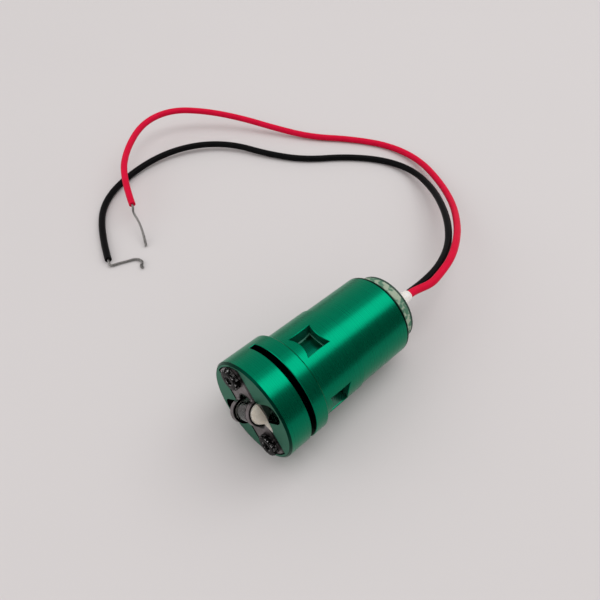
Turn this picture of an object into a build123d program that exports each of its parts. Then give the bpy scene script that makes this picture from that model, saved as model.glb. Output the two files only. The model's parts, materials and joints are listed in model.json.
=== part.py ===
from build123d import *
import os
from math import atan2, cos, degrees, pi, radians, sin, sqrt, tan

# Line-projecting laser diode module, lying on its side as it comes to rest.
# Module frame: Z runs from the front face to the rear, X is up and Y is the side; all sizes in millimetres.

# Turned housing
FLANGE_DIAMETER = 16.0
FLANGE_LENGTH = 7.3
BARREL_DIAMETER = 14.2
TAIL_STEP = 0.2
TAIL_START = 15.4
HOUSING_LENGTH = 26.25
EDGE_CHAMFER = 0.25
REAR_CHAMFER = 0.45
EDGE_BREAK = 0.08
SURFACE_TOLERANCE = 0.001
BEAM_BORE_DIAMETER = 4.0
TAIL_WALL = 1.6
BORE_START = 6.0

# Tuning slit sawn into the flange, leaving a flexible web on one side
SLIT_START = 3.9
SLIT_WIDTH = 1.0
SLIT_WEB = 3.2

# Hourglass windows through the barrel wall
WINDOW_COUNT = 4
WINDOW_CENTRE = 10.65
WINDOW_LENGTH = 4.1
WINDOW_WIDTH = 4.1
WINDOW_END_PINCH = 0.55
WINDOW_FLOOR_LENGTH = 3.5
WINDOW_FLOOR_WIDTH = 3.0
WINDOW_SIDE_PINCH = 0.55
WINDOW_FLOOR_INSET = 1.1
WINDOW_RUN_OUT = 1.8

# Rod lens across the front face, and the bent clip that holds it
FRONT_ANGLE = 45.0
ROD_DIAMETER = 3.0
ROD_LENGTH = 5.8
ROD_EDGE = 0.08
ROD_SIDE_CLEARANCE = 0.05
GROOVE_DEPTH = 1.4
GROOVE_RIM_WALL = 0.55
CLIP_WIDTH = 5.8
CLIP_THICKNESS = 0.3
CLIP_BEND_RADIUS = 0.2
CLIP_RECESS_DEPTH = 0.35
CLIP_RIM_WALL = 0.6
CLIP_CLEARANCE = 0.2
CLIP_SEAT_CLEARANCE = 0.02
APERTURE_LENGTH = 5.6
APERTURE_WIDTH = 3.6

# Low-head socket screws of the clip
SCREW_DIAMETER = 2.0
SCREW_LENGTH = 3.2
SCREW_EDGE_DISTANCE = 2.5
SCREW_HEAD_DIAMETER = 3.4
SCREW_HEAD_HEIGHT = 0.8
SCREW_HEAD_EDGE = 0.15
SCREW_SOCKET = 1.3
SCREW_SOCKET_DEPTH = 0.5
SCREW_HOLE_CLEARANCE = 0.1
SCREW_THREAD_CLEARANCE = 0.02
SCREW_TIP_GAP = 0.2

# Collimator: sleeve, lens, retaining ring and the spring that loads the sleeve
SLEEVE_CLEARANCE = 0.03
SLEEVE_WALL = 1.57
SLEEVE_LIP = 1.2
SLEEVE_LIP_WIDTH = 1.3
LENS_CLEARANCE = 0.05
LENS_EDGE = 1.2
LENS_CROWN = 1.1
RETAINER_LENGTH = 1.6
RETAINER_WALL = 1.05
RETAINER_NOTCH = 0.8
SPRING_SIDE_CLEARANCE = 0.8
SPRING_WIRE_WIDTH = 0.7
SPRING_WIRE_HEIGHT = 0.45
SPRING_TURNS = 3.25
SPRING_GAP = 2.8
SPRING_END_CLEARANCE = 0.02

# Laser diode can and the holder that carries it
HOLDER_LENGTH = 4.0
HOLDER_REAR_SPACE = 3.95
HOLDER_CLEARANCE = 0.02
HOLDER_NOTCH = 1.2
DIODE_BASE_DIAMETER = 5.6
DIODE_BASE_THICKNESS = 1.2
DIODE_BASE_CLEARANCE = 0.02
DIODE_RIM = 0.6
DIODE_CAP_LENGTH = 2.3
DIODE_CAP_WALL = 0.25
DIODE_CAP_CLEARANCE = 0.15
DIODE_WINDOW_HOLE = 1.6
DIODE_WINDOW_DIAMETER = 2.8
DIODE_WINDOW_THICKNESS = 0.25
DIODE_POST_WIDTH = 1.3
DIODE_POST_LENGTH = 1.1
LEAD_DIAMETER = 0.45
LEAD_CIRCLE = 2.0
LEAD_ANGLES = (90.0, 210.0, 330.0)
LEAD_PROTRUSION = 0.6

# Driver board on the tail and what is soldered to it
BOARD_INSET = 1.15
BOARD_THICKNESS = 2.0
BOARD_HOLE_CLEARANCE = 0.12
SOLDER_HEIGHT = 0.55
LEAD_SOLDER_DIAMETER = 1.3
CHIP_SIZE = (1.6, 2.9, 0.95)
CHIP_STANDOFF = 0.1
CHIP_PLACE = (-3.0, 0.4)
CHIP_LEG_PITCH = 0.95
CHIP_LEG_WIDTH = 0.4
CHIP_LEG_SPAN = 2.8
CHIP_LEG_THICKNESS = 0.18
RESISTOR_SIZE = (0.8, 1.6, 0.45)
RESISTOR_PLACES = ((0.8, -3.9), (2.2, -3.7), (-1.3, 3.8))
CAPACITOR_SIZE = (1.25, 2.0, 0.9)
CAPACITOR_PLACES = ((-2.6, 3.3), (-2.4, -3.4))
TERMINAL_LENGTH = 0.3
TERMINAL_STEP = 0.03

# Leads, their solder domes and the glue round them
WIRE_DIAMETER = 1.3
WIRE_SOLDER_DIAMETER = 1.45
WIRE_SOLDER_TOP = 1.2
RED_PAD = (3.55, 2.4)
BLACK_PAD = (2.2, 1.6)
GLUE_HEIGHT = 2.15
GLUE_MARGIN = 0.45
GLUE_TOP_MARGIN = 0.15
GLUE_CLEARANCE = 0.02
STRAND_DIAMETER = 0.45
STRAND_BEND_RATIO = 0.4
STRAND_EXIT = 1.3
ROUTE_BEND_RATIO = 0.45
EXIT_RUN = 2.4

# Route points of the leads, from behind the glue to the end of the insulation
RED_ROUTE = [
    (2.7, 18.9, 9.8), (3.2, 22.0, 9.5), (2.0, 28.0, 9.2), (0.1, 32.2, 8.4),
    (-3.0, 38.0, 6.6), (-8.9, 44.7, 4.1), (-15.9, 49.9, 2.4),
    (-24.2, 53.8, 1.1), (-32.2, 53.4, 0.65), (-39.6, 49.0, 0.65), (-46.4, 42.9, 0.75), (-53.5, 38.8, 1.4),
    (-60.6, 34.6, 2.6), (-66.6, 29.4, 3.9), (-71.2, 23.4, 4.8), (-70.9, 15.6, 5.4), (-65.4, 7.7, 5.4),
    (-59.1, 2.5, 5.0), (-51.8, -0.3, 4.0),
]
BLACK_ROUTE = [
    (1.7, 21.5, 8.5), (1.1, 26.4, 8.1), (-1.4, 32.9, 7.3),
    (-4.8, 36.6, 6.5), (-9.1, 41.6, 5.0), (-15.2, 46.6, 2.9),
    (-22.5, 50.0, 1.2), (-29.6, 48.8, 0.65), (-36.2, 43.5, 0.65), (-41.6, 36.4, 0.65), (-48.4, 31.8, 0.8),
    (-56.0, 28.2, 1.2), (-61.1, 22.4, 1.4), (-63.7, 14.9, 1.3), (-63.6, 6.4, 0.8), (-60.6, -1.8, 0.65),
    (-53.8, -7.3, 0.65), (-45.8, -10.5, 0.65),
]
RED_STRAND = [(-47.6, -1.6, 1.6), (-43.6, -3.4, 0.3)]
BLACK_STRAND = [(-43.4, -8.6, 0.3), (-41.4, -7.4, 0.3), (-39.9, -8.2, 0.35)]

# Sizes and places that follow from those above
TAIL_DIAMETER = BARREL_DIAMETER - 2 * TAIL_STEP
BORE_DIAMETER = TAIL_DIAMETER - 2 * TAIL_WALL
BOARD_DIAMETER = TAIL_DIAMETER - 2 * BOARD_INSET
SLEEVE_DIAMETER = BORE_DIAMETER - 2 * SLEEVE_CLEARANCE
LENS_POCKET = SLEEVE_DIAMETER - 2 * SLEEVE_WALL
LENS_DIAMETER = LENS_POCKET - 2 * LENS_CLEARANCE
SCREW_RADIUS = FLANGE_DIAMETER / 2 - SCREW_EDGE_DISTANCE
SPRING_DIAMETER = BORE_DIAMETER - 2 * SPRING_SIDE_CLEARANCE
DIODE_CAP_DIAMETER = DIODE_BASE_DIAMETER - 2 * DIODE_RIM
ROD_CENTRE = GROOVE_DEPTH - ROD_DIAMETER / 2
CLIP_FRONT = CLIP_RECESS_DEPTH - CLIP_THICKNESS
HOLDER_REAR = HOUSING_LENGTH - HOLDER_REAR_SPACE
HOLDER_FRONT = HOLDER_REAR - HOLDER_LENGTH
SLEEVE_REAR = HOLDER_FRONT - SPRING_GAP
SLEEVE_LENGTH = SLEEVE_REAR - BORE_START
DIODE_SEAT = HOLDER_FRONT + DIODE_CAP_LENGTH
DIODE_REAR = DIODE_SEAT + DIODE_BASE_THICKNESS
BOARD_REAR = HOUSING_LENGTH + BOARD_THICKNESS
SOLDER_TOP = BOARD_REAR + SOLDER_HEIGHT


def disc(diameter, start, length):
    """A cylinder on the module's axis, from start towards the rear."""
    return Pos(0, 0, start) * Cylinder(diameter / 2, length, align=(Align.CENTER, Align.CENTER, Align.MIN))


def tube(outer, inner, start, length):
    """A plain ring on the module's axis."""
    return disc(outer, start, length) - disc(inner, start, length)


def turned(profile):
    """A solid of revolution from (radius, z) points."""
    outline = Plane.XZ * make_face(Polyline([(r, z) for r, z in profile], close=True))
    return revolve(outline, Axis.Z)


def on_front(shape):
    """Turns a piece from the rod's own axes to its angle on the face."""
    return Rot(0, 0, FRONT_ANGLE) * shape


def pinched(start, end, pinch):
    """An edge from start to end whose middle is drawn in towards the window's centre."""
    if pinch == 0:
        return Line(start, end)
    middle = (Vector(*start) + Vector(*end)) * 0.5
    return ThreePointArc(start, middle - middle.normalized() * pinch, end)


def window_outline(length, width, end_pinch, side_pinch):
    """The four-sided outline of a window, centred, with its length along X."""
    a, b = length / 2, width / 2
    corners = [(-a, -b), (a, -b), (a, b), (-a, b)]
    pinches = [side_pinch, end_pinch, side_pinch, end_pinch]
    edges = [pinched(corners[i], corners[(i + 1) % 4], pinches[i]) for i in range(4)]
    return make_face(edges)


def window_cutter():
    """The hourglass cutter of the upper window, narrowing towards the bore."""
    def at(height):
        return Plane(origin=(height, 0, WINDOW_CENTRE), x_dir=(0, 0, 1), z_dir=(1, 0, 0))
    mouth = at(BARREL_DIAMETER / 2) * window_outline(WINDOW_LENGTH, WINDOW_WIDTH, WINDOW_END_PINCH, 0)
    floor = at(BORE_DIAMETER / 2 - WINDOW_FLOOR_INSET) * window_outline(
        WINDOW_FLOOR_LENGTH, WINDOW_FLOOR_WIDTH, 0, WINDOW_SIDE_PINCH)
    return loft([floor, mouth]) + extrude(mouth, WINDOW_RUN_OUT)


def clip_strip(depth, margin, radius):
    """The clip's flat outline as a prism from the face inwards: a strip with round ends."""
    strip = Rectangle(CLIP_WIDTH + 2 * margin, 2 * radius) & Circle(radius)
    return extrude(strip, depth)


def break_edges(body, diameter, start, end):
    """Takes the sharp edge off every cut through a turned surface between two depths."""
    def on_surface(edge):
        points = [edge @ t for t in (0, 0.5, 1)]
        off = max(abs(Vector(p.X, p.Y).length - diameter / 2) for p in points)
        return off < SURFACE_TOLERANCE and min(p.Z for p in points) > start and max(p.Z for p in points) < end
    return chamfer(body.edges().filter_by(on_surface), EDGE_BREAK)


def make_housing():
    flange, barrel, tail = FLANGE_DIAMETER / 2, BARREL_DIAMETER / 2, TAIL_DIAMETER / 2
    bore, beam, edge, rear = BORE_DIAMETER / 2, BEAM_BORE_DIAMETER / 2, EDGE_CHAMFER, REAR_CHAMFER
    body = turned([
        (beam, 0), (flange - edge, 0), (flange, edge),
        (flange, FLANGE_LENGTH - edge), (flange - edge, FLANGE_LENGTH), (barrel, FLANGE_LENGTH),
        (barrel, TAIL_START), (tail, TAIL_START),
        (tail, HOUSING_LENGTH - rear), (tail - rear, HOUSING_LENGTH), (bore, HOUSING_LENGTH),
        (bore, BORE_START), (beam, BORE_START),
    ])
    groove_length = FLANGE_DIAMETER - 2 * GROOVE_RIM_WALL
    groove = extrude(SlotOverall(groove_length, ROD_DIAMETER + 2 * ROD_SIDE_CLEARANCE), GROOVE_DEPTH)
    recess = clip_strip(CLIP_RECESS_DEPTH, CLIP_CLEARANCE, FLANGE_DIAMETER / 2 - CLIP_RIM_WALL)
    thread_end = CLIP_FRONT + SCREW_LENGTH + SCREW_TIP_GAP
    threads = disc(SCREW_DIAMETER + 2 * SCREW_THREAD_CLEARANCE, 0, thread_end)
    body -= on_front(groove)
    body -= on_front(recess)
    for side in (-1, 1):
        body -= on_front(Pos(0, side * SCREW_RADIUS, 0) * threads)
    slit = Box(2 * FLANGE_DIAMETER, FLANGE_DIAMETER, SLIT_WIDTH, align=(Align.CENTER, Align.MIN, Align.MIN))
    body -= Pos(0, SLIT_WEB - flange, SLIT_START) * slit
    cutter = window_cutter()
    for i in range(WINDOW_COUNT):
        body -= Rot(0, 0, i * 360 / WINDOW_COUNT) * cutter
    body = break_edges(body, FLANGE_DIAMETER, edge + EDGE_BREAK, FLANGE_LENGTH - edge - EDGE_BREAK)
    return break_edges(body, BARREL_DIAMETER, FLANGE_LENGTH + EDGE_BREAK, TAIL_START - EDGE_BREAK)


def make_rod():
    rod = Rot(0, 90, 0) * Cylinder(ROD_DIAMETER / 2, ROD_LENGTH)
    rod = chamfer(rod.edges(), ROD_EDGE)
    return on_front(Pos(0, 0, ROD_CENTRE) * rod)


def clip_side(offset):
    """Edges of the clip's section at a depth below its front surface: flat, bend, arch, bend, flat."""
    arch = ROD_DIAMETER / 2 + CLIP_SEAT_CLEARANCE + CLIP_THICKNESS
    reach = FLANGE_DIAMETER / 2 - CLIP_RIM_WALL - CLIP_CLEARANCE
    centre_z = CLIP_FRONT - CLIP_BEND_RADIUS
    rise = ROD_CENTRE - centre_z
    centre_y = sqrt((arch + CLIP_BEND_RADIUS) ** 2 - rise ** 2)
    lean = atan2(rise, centre_y)
    flat_z = CLIP_FRONT + offset
    bend = CLIP_BEND_RADIUS + offset
    radius = arch - offset
    sides = []
    for side in (-1, 1):
        foot = (side * centre_y, flat_z)
        turn = (side * (centre_y - bend * cos(lean)), centre_z + bend * sin(lean))
        half = (pi / 2 + lean) / 2
        middle = (side * (centre_y - bend * sin(half)), centre_z + bend * cos(half))
        sides.append(Line((side * reach, flat_z), foot))
        sides.append(ThreePointArc(foot, middle, turn))
    spring = (radius * cos(lean), ROD_CENTRE - radius * sin(lean))
    sides.append(ThreePointArc((-spring[0], spring[1]), (0, ROD_CENTRE - radius), spring))
    return sides


def make_clip():
    reach = FLANGE_DIAMETER / 2 - CLIP_RIM_WALL - CLIP_CLEARANCE
    ends = [Line((side * reach, CLIP_FRONT), (side * reach, CLIP_RECESS_DEPTH)) for side in (-1, 1)]
    profile = make_face(clip_side(0) + clip_side(CLIP_THICKNESS) + ends)
    sheet = extrude(Plane.YZ * profile, CLIP_WIDTH / 2, both=True)
    sheet &= Cylinder(reach, FLANGE_DIAMETER)
    aperture = Rot(0, 0, 90) * SlotOverall(APERTURE_LENGTH, APERTURE_WIDTH)
    sheet -= extrude(aperture, FLANGE_DIAMETER / 2, both=True)
    hole = Cylinder(SCREW_DIAMETER / 2 + SCREW_HOLE_CLEARANCE, FLANGE_LENGTH)
    for side in (-1, 1):
        sheet -= Pos(0, side * SCREW_RADIUS, 0) * hole
    return on_front(sheet)


def make_clip_screw(side):
    head = disc(SCREW_HEAD_DIAMETER, CLIP_FRONT - SCREW_HEAD_HEIGHT, SCREW_HEAD_HEIGHT)
    head = chamfer(head.edges().sort_by(Axis.Z)[0], SCREW_HEAD_EDGE)
    socket = extrude(RegularPolygon(SCREW_SOCKET / 2, 6, major_radius=False), SCREW_SOCKET_DEPTH)
    head -= Pos(0, 0, CLIP_FRONT - SCREW_HEAD_HEIGHT) * socket
    shank = disc(SCREW_DIAMETER, CLIP_FRONT, SCREW_LENGTH)
    return on_front(Pos(0, side * SCREW_RADIUS, 0) * (head + shank))


def make_sleeve():
    body = disc(SLEEVE_DIAMETER, BORE_START, SLEEVE_LENGTH)
    body -= disc(LENS_POCKET - 2 * SLEEVE_LIP_WIDTH, BORE_START, SLEEVE_LENGTH)
    body -= disc(LENS_POCKET, BORE_START + SLEEVE_LIP, SLEEVE_LENGTH)
    return chamfer(body.edges().filter_by(GeomType.CIRCLE).sort_by(Axis.Z)[-1], EDGE_CHAMFER)


def make_lens():
    seat = BORE_START + SLEEVE_LIP
    radius = LENS_DIAMETER / 2
    rim = Line((0, seat), (radius, seat))
    edge = Line((radius, seat), (radius, seat + LENS_EDGE))
    sphere = (radius ** 2 + LENS_CROWN ** 2) / (2 * LENS_CROWN)
    top = seat + LENS_EDGE + LENS_CROWN
    half = atan2(radius, sphere - LENS_CROWN) / 2
    shoulder = (sphere * sin(half), top - sphere * (1 - cos(half)))
    dome = ThreePointArc((radius, seat + LENS_EDGE), shoulder, (0, top))
    axis = Line((0, top), (0, seat))
    return revolve(Plane.XZ * make_face([rim, edge, dome, axis]), Axis.Z)


def make_retainer():
    start = BORE_START + SLEEVE_LIP + LENS_EDGE
    ring = tube(LENS_DIAMETER, LENS_DIAMETER - 2 * RETAINER_WALL, start, RETAINER_LENGTH)
    lens_space = make_lens()
    notch = Pos(0, 0, start + RETAINER_LENGTH) * Box(2 * LENS_DIAMETER, RETAINER_NOTCH, RETAINER_NOTCH)
    return ring - notch - lens_space


def make_spring():
    start = SLEEVE_REAR + SPRING_WIRE_HEIGHT / 2 + SPRING_END_CLEARANCE
    height = SPRING_GAP - SPRING_WIRE_HEIGHT - 2 * SPRING_END_CLEARANCE
    radius = (SPRING_DIAMETER - SPRING_WIRE_WIDTH) / 2
    coil = Helix(pitch=height / SPRING_TURNS, height=height, radius=radius)
    across = Plane(origin=coil @ 0, x_dir=(1, 0, 0), z_dir=coil % 0)
    section = across * Rectangle(SPRING_WIRE_WIDTH, SPRING_WIRE_HEIGHT)
    return Pos(0, 0, start) * sweep(section, path=coil, is_frenet=True)


def make_holder():
    outer = BORE_DIAMETER - 2 * HOLDER_CLEARANCE
    body = disc(outer, HOLDER_FRONT, HOLDER_LENGTH)
    body = chamfer(body.edges().filter_by(GeomType.CIRCLE), EDGE_CHAMFER)
    body -= disc(DIODE_CAP_DIAMETER + 2 * DIODE_CAP_CLEARANCE, HOLDER_FRONT, HOLDER_LENGTH)
    body -= disc(DIODE_BASE_DIAMETER + 2 * DIODE_BASE_CLEARANCE, DIODE_SEAT, HOLDER_LENGTH)
    notch = Box(2 * BORE_DIAMETER, HOLDER_NOTCH, HOLDER_NOTCH)
    return body - Pos(0, 0, HOLDER_REAR) * notch


def lead_places():
    """Positions of the diode's three leads."""
    return [(LEAD_CIRCLE / 2 * cos(radians(a)), LEAD_CIRCLE / 2 * sin(radians(a))) for a in LEAD_ANGLES]


def make_diode_base():
    base = disc(DIODE_BASE_DIAMETER, DIODE_SEAT, DIODE_BASE_THICKNESS)
    post = Box(DIODE_POST_WIDTH, DIODE_POST_WIDTH, DIODE_POST_LENGTH)
    return base + Pos(0, 0, DIODE_SEAT - DIODE_POST_LENGTH / 2) * post


def make_diode_cap():
    inner = DIODE_CAP_DIAMETER - 2 * DIODE_CAP_WALL
    can = disc(DIODE_CAP_DIAMETER, HOLDER_FRONT, DIODE_CAP_LENGTH)
    can -= disc(inner, HOLDER_FRONT + DIODE_CAP_WALL, DIODE_CAP_LENGTH)
    return can - disc(DIODE_WINDOW_HOLE, HOLDER_FRONT, DIODE_CAP_LENGTH)


def make_diode_window():
    return disc(DIODE_WINDOW_DIAMETER, HOLDER_FRONT + DIODE_CAP_WALL, DIODE_WINDOW_THICKNESS)


def make_leads():
    lead = disc(LEAD_DIAMETER, DIODE_REAR, BOARD_REAR + LEAD_PROTRUSION - DIODE_REAR)
    return Compound([Pos(x, y, 0) * lead for x, y in lead_places()])


def make_board():
    board = disc(BOARD_DIAMETER, HOUSING_LENGTH, BOARD_THICKNESS)
    hole = disc(LEAD_DIAMETER + 2 * BOARD_HOLE_CLEARANCE, HOUSING_LENGTH, BOARD_THICKNESS)
    for x, y in lead_places():
        board -= Pos(x, y, 0) * hole
    return board


def solder_cone(bottom, top):
    """A solder fillet standing on the board."""
    cone = Cone(bottom / 2, top / 2, SOLDER_HEIGHT, align=(Align.CENTER, Align.CENTER, Align.MIN))
    return Pos(0, 0, BOARD_REAR) * cone


def make_lead_solder():
    cone = solder_cone(LEAD_SOLDER_DIAMETER, LEAD_DIAMETER + 2 * BOARD_HOLE_CLEARANCE)
    cone -= disc(LEAD_DIAMETER, BOARD_REAR, SOLDER_HEIGHT)
    return Compound([Pos(x, y, 0) * cone for x, y in lead_places()])


def make_wire_solder():
    dome = solder_cone(WIRE_SOLDER_DIAMETER, WIRE_SOLDER_TOP)
    return Compound([Pos(x, y, 0) * dome for x, y in (RED_PAD, BLACK_PAD)])


def on_board(size, place, standoff=0.0):
    """A block of the given size standing on the board."""
    block = Box(*size, align=(Align.CENTER, Align.CENTER, Align.MIN))
    return Pos(place[0], place[1], BOARD_REAR + standoff) * block


def make_chip():
    chip = on_board(CHIP_SIZE, CHIP_PLACE, CHIP_STANDOFF)
    middle = CHIP_STANDOFF + CHIP_SIZE[2] / 2
    across = CHIP_LEG_SPAN / 2 - CHIP_LEG_THICKNESS / 2
    arm = (CHIP_LEG_SPAN, CHIP_LEG_WIDTH, CHIP_LEG_THICKNESS)
    leg = (CHIP_LEG_THICKNESS, CHIP_LEG_WIDTH, middle)
    for row in (-1, 0, 1):
        y = CHIP_PLACE[1] + row * CHIP_LEG_PITCH
        chip += on_board(arm, (CHIP_PLACE[0], y), middle - CHIP_LEG_THICKNESS)
        for side in (-1, 1):
            chip += on_board(leg, (CHIP_PLACE[0] + side * across, y))
    return chip


def make_passives(size, places):
    """Surface-mount parts: ceramic bodies between two terminals that stand a little proud."""
    width, length, height = size
    body = (width - 2 * TERMINAL_STEP, length - TERMINAL_LENGTH, height - TERMINAL_STEP)
    terminal = (width, TERMINAL_LENGTH, height)
    reach = (length - TERMINAL_LENGTH) / 2
    parts = []
    for x, y in places:
        ends = [on_board(terminal, (x, y + side * reach)) for side in (-1, 1)]
        parts.append(on_board(body, (x, y)) + ends)
    return Compound(parts)


def make_glue():
    red, black = Vector(*RED_PAD), Vector(*BLACK_PAD)
    middle = (red + black) * 0.5
    direction = red - black
    angle = degrees(atan2(direction.Y, direction.X))
    spread = direction.length

    def outline(height, margin):
        width = WIRE_SOLDER_DIAMETER + 2 * margin
        slot = Rot(0, 0, angle) * SlotOverall(spread + width, width)
        return Pos(middle.X, middle.Y, BOARD_REAR + height) * slot
    blob = loft([outline(0, GLUE_MARGIN), outline(GLUE_HEIGHT, GLUE_TOP_MARGIN)])
    blob &= disc(BOARD_DIAMETER, BOARD_REAR, GLUE_HEIGHT)
    wire_hole = disc(WIRE_DIAMETER + 2 * GLUE_CLEARANCE, BOARD_REAR, GLUE_HEIGHT)
    dome_hole = solder_cone(WIRE_SOLDER_DIAMETER + 2 * GLUE_CLEARANCE, WIRE_SOLDER_TOP + 2 * GLUE_CLEARANCE)
    for x, y in (RED_PAD, BLACK_PAD):
        blob -= Pos(x, y, 0) * wire_hole
        blob -= Pos(x, y, 0) * dome_hole
    return blob


def bend_radii(points, ratio):
    """The largest tangent arc at each corner of a route that its two runs leave room for."""
    radii = []
    for before, corner, after in zip(points, points[1:], points[2:]):
        first, second = corner - before, after - corner
        half_turn = radians(first.get_angle(second)) / 2
        radii.append(ratio * min(first.length, second.length) / tan(half_turn))
    return radii


def make_cord(name, points, diameter, ratio):
    """A round tube along straight runs with tangent arcs."""
    points = [Vector(*p) for p in points]
    radii = bend_radii(points, ratio)
    path = FilletPolyline(points, radius=radii)
    section = Plane(origin=path @ 0, z_dir=path % 0) * Circle(diameter / 2)
    cord = sweep(section, path=path)
    expected = path.length * section.area
    print(name, "length", round(path.length, 1), "volume ratio", round(cord.volume / expected, 4))
    print(name, "radii", [round(r, 1) for r in radii])
    return cord


def rest_placement(pieces):
    """Lays the module on its flange and tail, with the origin under the middle of its box."""
    tilt = atan2((FLANGE_DIAMETER - TAIL_DIAMETER) / 2, HOUSING_LENGTH - FLANGE_LENGTH)
    lying = Plane((0, 0, 0), x_dir=(0, sin(tilt), cos(tilt)), z_dir=(0, cos(tilt), -sin(tilt))).location
    box = Compound([lying * piece for piece in pieces.values()]).bounding_box()
    return Pos(-box.center().X, -box.center().Y, -box.min.Z) * lying


def make_module():
    return {
        "housing": make_housing(),
        "rod_lens": make_rod(),
        "lens_clip": make_clip(),
        "clip_screw_upper": make_clip_screw(-1),
        "clip_screw_lower": make_clip_screw(1),
        "collimator_sleeve": make_sleeve(),
        "collimating_lens": make_lens(),
        "lens_retainer": make_retainer(),
        "focus_spring": make_spring(),
        "diode_holder": make_holder(),
        "diode_base": make_diode_base(),
        "diode_cap": make_diode_cap(),
        "diode_window": make_diode_window(),
        "diode_leads": make_leads(),
        "driver_board": make_board(),
        "driver_chip": make_chip(),
        "chip_resistors": make_passives(RESISTOR_SIZE, RESISTOR_PLACES),
        "chip_capacitors": make_passives(CAPACITOR_SIZE, CAPACITOR_PLACES),
        "lead_solder": make_lead_solder(),
        "wire_solder": make_wire_solder(),
        "wire_glue": make_glue(),
    }


def make_wires(place):
    """Both leads, from their solder domes along the table to the stripped ends."""
    wires = {}
    routes = (("red", RED_PAD, RED_ROUTE, RED_STRAND), ("black", BLACK_PAD, BLACK_ROUTE, BLACK_STRAND))
    for colour, pad, route, strand in routes:
        start = (place * Pos(pad[0], pad[1], SOLDER_TOP)).position
        exit_point = (place * Pos(pad[0], pad[1], SOLDER_TOP + EXIT_RUN)).position
        cut = Vector(*route[-1])
        strand_exit = cut + (cut - Vector(*route[-2])).normalized() * STRAND_EXIT
        wires[colour + "_wire"] = make_cord(
            colour + "_wire", [start, exit_point] + route, WIRE_DIAMETER, ROUTE_BEND_RATIO)
        wires[colour + "_wire_end"] = make_cord(
            colour + "_wire_end", [cut, strand_exit] + strand, STRAND_DIAMETER, STRAND_BEND_RATIO)
    return wires


module = make_module()
placement = rest_placement(module)
nodes = {name: placement * piece for name, piece in module.items()}
nodes.update(make_wires(placement))
os.makedirs("parts", exist_ok=True)
for name, piece in nodes.items():
    export_step(piece, os.path.join("parts", name + ".step"))
print("front of axis at", placement.position)
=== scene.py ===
import json
from math import cos, pi, radians, sin, tau

import bmesh
import bpy
from mathutils import Matrix, Vector


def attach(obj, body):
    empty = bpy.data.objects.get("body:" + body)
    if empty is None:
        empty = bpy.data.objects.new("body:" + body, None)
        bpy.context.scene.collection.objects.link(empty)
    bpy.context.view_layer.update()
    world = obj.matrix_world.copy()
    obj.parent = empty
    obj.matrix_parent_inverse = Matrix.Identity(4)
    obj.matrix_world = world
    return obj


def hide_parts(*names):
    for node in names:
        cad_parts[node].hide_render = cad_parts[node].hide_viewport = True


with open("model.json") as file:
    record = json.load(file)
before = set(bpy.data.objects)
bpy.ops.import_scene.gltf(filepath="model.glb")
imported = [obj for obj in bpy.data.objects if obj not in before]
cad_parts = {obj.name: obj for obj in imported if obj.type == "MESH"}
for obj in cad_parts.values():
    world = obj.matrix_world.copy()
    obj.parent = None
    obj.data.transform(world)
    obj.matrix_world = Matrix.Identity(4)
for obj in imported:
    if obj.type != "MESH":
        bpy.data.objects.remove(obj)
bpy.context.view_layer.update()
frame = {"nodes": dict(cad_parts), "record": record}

# A green line-laser module with two loose leads, lying on a pale table.
# Blender's lengths are metres. Names that end in _MM are millimetres in the module's own frame.
# There X is up, Y is the side and Z runs from the front face to the rear.
NODES = frame["nodes"]
MM = 0.001

# Sizes of the solids that the pieces and the materials follow
TAIL_MOUNT_DEPTH_MM = 20.6
FLANGE_RADIUS_MM = 8.0
FLANGE_LENGTH_MM = 7.3
BARREL_RADIUS_MM = 7.1
TAIL_START_MM = 15.4
SLIT_START_MM = 3.9
SLIT_END_MM = 4.9
FRONT_ANGLE = radians(45)
SCREW_OFFSET_MM = 5.5
CLIP_FRONT_MM = 0.05
CLIP_HALF_WIDTH_MM = 2.9
CLIP_ARCH_RADIUS_MM = 1.82
ROD_CENTRE_MM = -0.1
SLOT_HALF_RUN_MM = 1.0
SLOT_RADIUS_MM = 1.8
GROOVE_DEPTH_MM = 1.4
GROOVE_REACH_MM = 7.46
BORE_RADIUS_MM = 5.3
REAR_CHAMFER_MM = 0.45
BEAM_RADIUS_MM = 2.0
ROD_HALF_LENGTH_MM = 2.9
BOARD_RADIUS_MM = 5.75
HOUSING_LENGTH_MM = 26.25
BOARD_REAR_MM = 28.25
SOLDER_TOP_MM = 28.8
EXIT_RUN_MM = 2.4
STRAND_EXIT_MM = 0.6
CHIP_X_MM = -3.0
CHIP_BODY_HALF_WIDTH_MM = 0.8
RESISTOR_PLACES_MM = ((0.8, -3.9), (2.2, -3.7), (-1.3, 3.8))
RESISTOR_HALF_LENGTH_MM = 0.8
CAPACITOR_PLACES_MM = ((-2.6, 3.3), (-2.4, -3.4))
CAPACITOR_HALF_LENGTH_MM = 1.0
LEAD_CIRCLE_RADIUS_MM = 1.0
LEAD_ANGLES = (radians(90), radians(210), radians(330))

# Leads: where each leaves the board, and its route along the table to the cut end
WIRE_DIAMETER = 1.3 * MM
RED_PAD_MM = (3.55, 2.4)
BLACK_PAD_MM = (2.2, 1.6)
RED_ROUTE = [
    (0.0027, 0.0189, 0.0098), (0.0032, 0.0212, 0.0096), (0.0029, 0.0236, 0.0094), (0.0020, 0.0280, 0.0092),
    (-0.0001, 0.0326, 0.0084), (-0.0034, 0.0380, 0.0066), (-0.0089, 0.0447, 0.0041),
    (-0.0159, 0.0499, 0.0024), (-0.0242, 0.0538, 0.0011), (-0.0322, 0.0534, 0.00065),
    (-0.0396, 0.0490, 0.00065), (-0.0464, 0.0429, 0.00075), (-0.0535, 0.0388, 0.0014),
    (-0.0606, 0.0346, 0.0026), (-0.0666, 0.0294, 0.0039), (-0.0712, 0.0234, 0.0048),
    (-0.0709, 0.0156, 0.0054), (-0.0654, 0.0077, 0.0054), (-0.0591, 0.0025, 0.0050),
    (-0.0518, -0.0003, 0.0040),
]
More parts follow.
